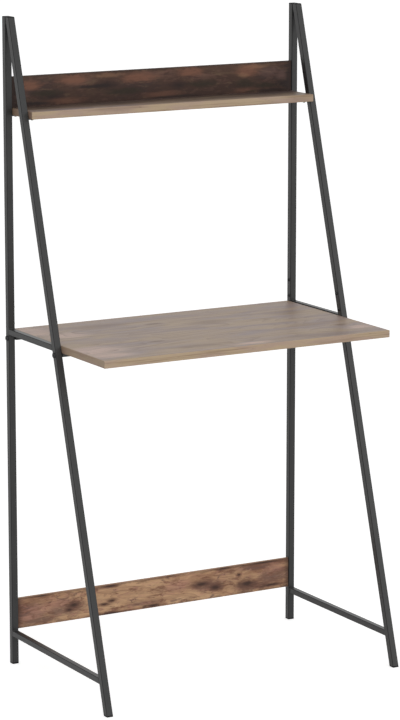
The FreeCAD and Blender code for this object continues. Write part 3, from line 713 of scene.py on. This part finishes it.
def softbox(name, place, size, watts):
    """Large flat lamp that shines at the middle of the desk."""
    bpy.ops.object.light_add(type="AREA", location=place)
    lamp = bpy.context.object
    lamp.name = name
    lamp.data.shape = "RECTANGLE"
    lamp.data.size, lamp.data.size_y = size
    lamp.data.energy = watts
    low, high = CAD_BOX
    middle = (Vector(low) + Vector(high)) / 2
    lamp.rotation_euler = (middle - lamp.location).to_track_quat("-Z", "Y").to_euler()


def seen_ray(tree, mirrored):
    """1 for rays of the camera, a share for those of reflections and glass, 0 for rays that light."""
    rays = tree.nodes.new("ShaderNodeLightPath")
    seen = rays.outputs["Is Camera Ray"]
    for ray in ("Is Glossy Ray", "Is Transmission Ray"):
        either = tree.nodes.new("ShaderNodeMath")
        either.operation = "MULTIPLY_ADD"
        either.inputs[1].default_value = mirrored
        tree.links.new(rays.outputs[ray], either.inputs[0])
        tree.links.new(seen, either.inputs[2])
        seen = either.outputs[0]
    return seen


def white_world(sky_light):
    """Even light all round that the camera and reflections see as plain white."""
    world = bpy.data.worlds.new("white_studio")
    bpy.context.scene.world = world
    world.use_nodes = True
    tree = world.node_tree
    background = tree.nodes["Background"]
    background.inputs["Color"].default_value = (1, 1, 1, 1)
    strength = tree.nodes.new("ShaderNodeMapRange")
    strength.inputs["To Min"].default_value = sky_light
    strength.inputs["To Max"].default_value = 1.0
    tree.links.new(seen_ray(tree, 1.0), strength.inputs["Value"])
    tree.links.new(strength.outputs["Result"], background.inputs["Strength"])


def pale_floor(colour, lift, mirrored):
    """Floor that shows white to the camera and reflections but for the desk's soft shadow."""
    bpy.ops.object.select_all(action="DESELECT")
    bpy.ops.mesh.primitive_plane_add(size=FLOOR_SIZE, location=(0, 0, 0))
    floor = bpy.context.object
    floor.name = "studio_floor"
    finish = Finish("studio_floor", roughness=0.9)
    finish.colour(colour)
    finish.put("Emission Color", (1, 1, 1, 1))
    finish.put("Emission Strength", finish.maths("MULTIPLY", seen_ray(finish.tree, mirrored), lift))
    floor.data.materials.append(finish.material)


# ---------------------------------------------------------------- operators

class LADDERDESK_OT_stage(bpy.types.Operator):
    """Camera, lamps, white surroundings and floor"""
    bl_idname = "ladder_desk.stage"
    bl_label = "Set stage"

    def execute(self, context):
        settings = context.scene.ladder_desk_stage
        bpy.ops.object.camera_add(
            location=settings.camera_place,
            rotation=(math.radians(90) - settings.camera_dip, 0, settings.camera_turn))
        camera = context.object
        camera.name = "desk_camera"
        camera.data.sensor_width = SENSOR_WIDTH
        camera.data.lens = settings.focal_length
        camera.data.clip_end = FAR_CLIP
        context.scene.camera = camera
        context.scene.view_settings.view_transform = "Standard"
        softbox("key_softbox", settings.key_place, KEY_SIZE, settings.key_light)
        softbox("fill_softbox", settings.fill_place, FILL_SIZE, settings.fill_light)
        white_world(settings.sky_light)
        pale_floor(settings.floor, settings.floor_lift, settings.floor_mirrored)
        return {"FINISHED"}


class LADDERDESK_OT_steel_frame(bpy.types.Operator):
    """Powder coat on the tubes, rungs, bars, tabs and top welds"""
    bl_idname = "ladder_desk.steel_frame"
    bl_label = "Coat steel frame"

    def execute(self, context):
        dress(TUBES + RUNGS + TABS + CROSSBARS + TOP_WELDS, powder_coat(context.scene.ladder_desk_steel))
        return {"FINISHED"}


class LADDERDESK_OT_weld_beads(bpy.types.Operator):
    """Weld beads inside the side frames, where rungs and tabs meet posts and legs"""
    bl_idname = "ladder_desk.weld_beads"
    bl_label = "Lay weld beads"

    def execute(self, context):
        settings = context.scene.ladder_desk_steel
        patterns = {}
        for side, inwards in INWARDS.items():
            beads = []
            for number, (start, end) in enumerate(frame_joints(side, inwards)):
                length = round((end - start).length, 4)  # joints alike to 0.1 mm share a pattern
                if length not in patterns:
                    patterns[length] = rippled_bead(length, settings)
                beads.append(lay_bead(patterns[length], f"{side}_bead_{number}", start, end))
            bpy.ops.object.select_all(action="DESELECT")
            for bead in beads:
                bead.select_set(True)
            context.view_layer.objects.active = beads[0]
            bpy.ops.object.join()
            welds = context.object
            welds.name = f"{side}_frame_weld_beads"
            welds.data.materials.clear()
            welds.data.materials.append(bpy.data.materials["powder_coat"])
            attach(welds, BODY)
        for pattern in patterns.values():
            bpy.data.objects.remove(pattern)
        return {"FINISHED"}


class LADDERDESK_OT_caps_and_screws(bpy.types.Operator):
    """Finishes of foot caps, top plugs, screws and sleeves"""
    bl_idname = "ladder_desk.caps_and_screws"
    bl_label = "Finish caps and screws"

    def execute(self, context):
        settings = context.scene.ladder_desk_fittings
        dress(CAPS, moulded_plastic(settings))
        dress(SCREWS, black_oxide(settings))
        dress(SLEEVES, zinc_plate(settings))
        return {"FINISHED"}


class LADDERDESK_OT_boards(bpy.types.Operator):
    """Oak foil and edge bands of the desktop and the shelf"""
    bl_idname = "ladder_desk.boards"
    bl_label = "Finish desktop and shelf"

    def execute(self, context):
        settings = context.scene.ladder_desk_boards
        dress(["desktop"], desk_foil(settings))
        dress(["upper_shelf"], shelf_foil(settings))
        for board, side_band_painted_shade, marks in (
                ("desktop", settings.desk_end_painted_shade, ()),
                ("shelf", settings.shelf_end_painted_shade, SHELF_BAND_MARKS)):
            lengthwise = edge_foil(settings, f"{board}_edge_foil_lengthwise", False, 0.0, marks)
            crosswise = edge_foil(settings, f"{board}_edge_foil_crosswise", True, side_band_painted_shade)
            dress([f"{board}_{edge}_edge_band" for edge in ("front", "rear")], lengthwise)
            dress([f"{board}_{edge}_edge_band" for edge in ("left", "right")], crosswise)
        return {"FINISHED"}


class LADDERDESK_OT_back_boards(bpy.types.Operator):
    """Weathered timber foil of the two back boards"""
    bl_idname = "ladder_desk.back_boards"
    bl_label = "Finish back boards"

    def execute(self, context):
        settings = context.scene.ladder_desk_boards
        dress(["lower_back_board"], weathered_foil(
            settings, "lower_weathered_foil", "lower_back_board", LOWER_PATCHES, LOWER_KNOTS,
            painted_shade_share=0.0, glaze=(), rim=settings.lower_rim))
        dress(["upper_back_board"], weathered_foil(
            settings, "upper_weathered_foil", "upper_back_board", UPPER_PATCHES, UPPER_KNOTS,
            painted_shade_share=settings.upper_painted_shade, glaze=UPPER_GLAZE, rim=settings.upper_rim))
        return {"FINISHED"}


class LADDERDESK_PT_panel(bpy.types.Panel):
    """Settings and steps of the ladder desk"""
    bl_label = "Ladder Desk"
    bl_idname = "LADDERDESK_PT_panel"
    bl_space_type = "VIEW_3D"
    bl_region_type = "UI"
    bl_category = "Ladder Desk"

    def draw(self, context):
        for name, group in SETTINGS.items():
            box = self.layout.box()
            box.label(text=group.__doc__)
            for setting in group.__annotations__:
                box.prop(getattr(context.scene, name), setting)
        for operator in OPERATORS:
            self.layout.operator(operator.bl_idname)


SETTINGS = {
    "ladder_desk_steel": SteelSettings,
    "ladder_desk_fittings": FittingSettings,
    "ladder_desk_boards": BoardSettings,
    "ladder_desk_stage": StageSettings,
}
OPERATORS = (
    LADDERDESK_OT_stage,
    LADDERDESK_OT_steel_frame,
    LADDERDESK_OT_weld_beads,
    LADDERDESK_OT_caps_and_screws,
    LADDERDESK_OT_boards,
    LADDERDESK_OT_back_boards,
)
CLASSES = (*SETTINGS.values(), *OPERATORS, LADDERDESK_PT_panel)


def register():
    """Register the classes, and give every scene the settings."""
    for new_class in CLASSES:
        bpy.utils.register_class(new_class)
    for name, group in SETTINGS.items():
        setattr(bpy.types.Scene, name, bpy.props.PointerProperty(type=group))


def unregister():
    """Take the settings and the classes away again."""
    for name in SETTINGS:
        delattr(bpy.types.Scene, name)
    for old_class in reversed(CLASSES):
        bpy.utils.unregister_class(old_class)


def main():
    """Finish the desk and set its stage."""
    register()
    bpy.ops.ladder_desk.stage()
    bpy.ops.ladder_desk.steel_frame()
    bpy.ops.ladder_desk.weld_beads()
    bpy.ops.ladder_desk.caps_and_screws()
    bpy.ops.ladder_desk.boards()
    bpy.ops.ladder_desk.back_boards()


if __name__ == "__main__":
    main()
